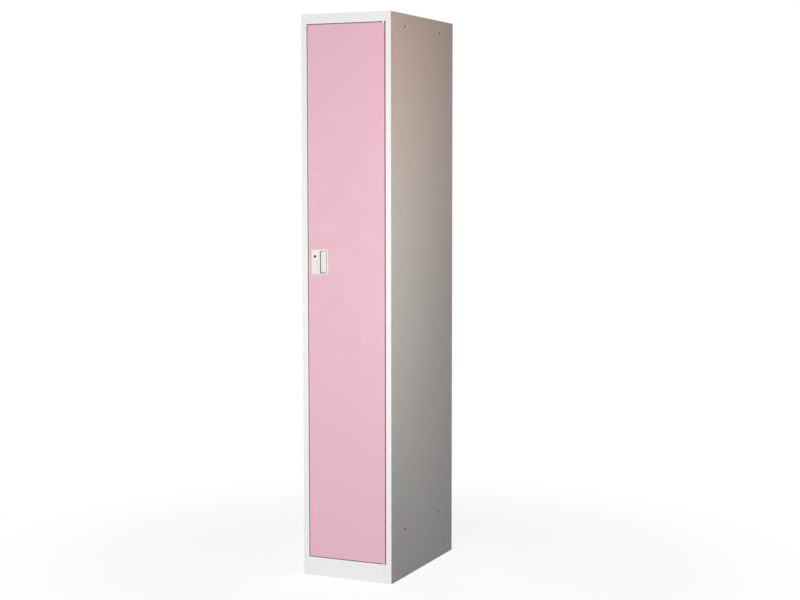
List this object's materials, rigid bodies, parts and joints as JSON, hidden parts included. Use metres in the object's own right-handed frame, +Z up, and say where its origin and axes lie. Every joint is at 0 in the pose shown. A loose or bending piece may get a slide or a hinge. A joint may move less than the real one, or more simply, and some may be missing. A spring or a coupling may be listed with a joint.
{
  "type": "single locker",
  "caption": "Tall narrow steel clothes locker with one flush side-hinged door, recessed pull plate with lock, hat shelf, hanger rail and umbrella stand inside.",
  "frame": {"origin": "middle of the footprint, on the floor", "axes": "+Z up, the front and its door face -Y, +X to the right as seen from the front (the hinge side)"},
  "size_m": [0.31, 0.5056, 1.79],
  "materials": {
    "frame_paint": "satin powder coat, cool white",
    "door_paint": "satin powder coat, pale pink",
    "moulding": "fine-grained ivory moulding",
    "zinc_steel": "bright zinc plated",
    "chrome": "polished",
    "lock_metal": "satin nickel",
    "nylon": "natural nylon",
    "buffer_rubber": "matt",
    "ferrite": "matt ferrite",
    "mirror": "silvered glass",
    "tray_plastic": "grey moulding"
  },
  "bodies": {
    "cabinet": {"left_side_panel": "frame_paint", "right_side_panel": "frame_paint", "back_panel": "frame_paint", "top_panel": "frame_paint", "floor_panel": "frame_paint", "header_rail": "frame_paint", "plinth": "frame_paint", "pivot_bracket_top": "frame_paint", "pivot_bracket_bottom": "frame_paint", "pivot_pin_top": "zinc_steel", "pivot_pin_bottom": "zinc_steel", "bracket_rivets": "zinc_steel", "door_buffers": "buffer_rubber", "catch_yoke": "zinc_steel", "catch_magnet": "ferrite", "catch_rivets": "zinc_steel", "hat_shelf": "frame_paint", "shelf_support_left": "frame_paint", "shelf_support_right": "frame_paint", "shelf_screws": "zinc_steel", "rail_bracket_left": "zinc_steel", "rail_bracket_right": "zinc_steel", "rail_screws": "zinc_steel", "rail_nuts": "zinc_steel", "hanger_rail": "chrome", "rail_caps": "nylon", "umbrella_ring": "chrome"},
    "door": {"door_skin": "door_paint", "door_stiffener": "door_paint", "door_pivot_plate_top": "zinc_steel", "door_pivot_plate_bottom": "zinc_steel", "pivot_bush_top": "nylon", "pivot_bush_bottom": "nylon", "pull_plate": "moulding", "plate_clips": "zinc_steel", "lever_pin": "zinc_steel", "lever_spring": "zinc_steel", "lock_housing": "lock_metal", "lock_nut": "zinc_steel", "mirror": "mirror", "mirror_clips": "zinc_steel", "clip_screws": "zinc_steel", "towel_brackets": "zinc_steel", "towel_screws": "zinc_steel", "towel_rail": "chrome", "towel_rail_knobs": "nylon"},
    "pull_lever": {"pull_lever": "moulding"},
    "lock": {"lock_plug": "lock_metal", "lock_cam": "zinc_steel", "cam_screw": "zinc_steel"},
    "drip_tray": {"drip_tray": "tray_plastic"}
  },
  "joints": [
    {"name": "door_hinge", "type": "hinge", "parent": "cabinet", "child": "door", "pos_m": [0.1267, -0.244, 0.91], "axis": [0, 0, 1], "range_deg": [0, 110]},
    {"name": "lever_pivot", "type": "hinge", "parent": "door", "child": "pull_lever", "pos_m": [-0.0711, -0.2474, 1.014], "axis": [0, 0, 1], "range_deg": [0, 30], "stiffness_Nm_per_rad": 0.05, "springref_deg": -17.19, "deforming": ["lever_spring"]},
    {"name": "lock_turn", "type": "hinge", "parent": "door", "child": "lock", "pos_m": [-0.1091, -0.24, 1.031], "axis": [0, 1, 0], "range_deg": [0, 90]},
    {"name": "tray_lift", "type": "slide", "parent": "cabinet", "child": "drip_tray", "axis": [0, 0, 1], "range_m": [0, 0.06]}
  ]
}
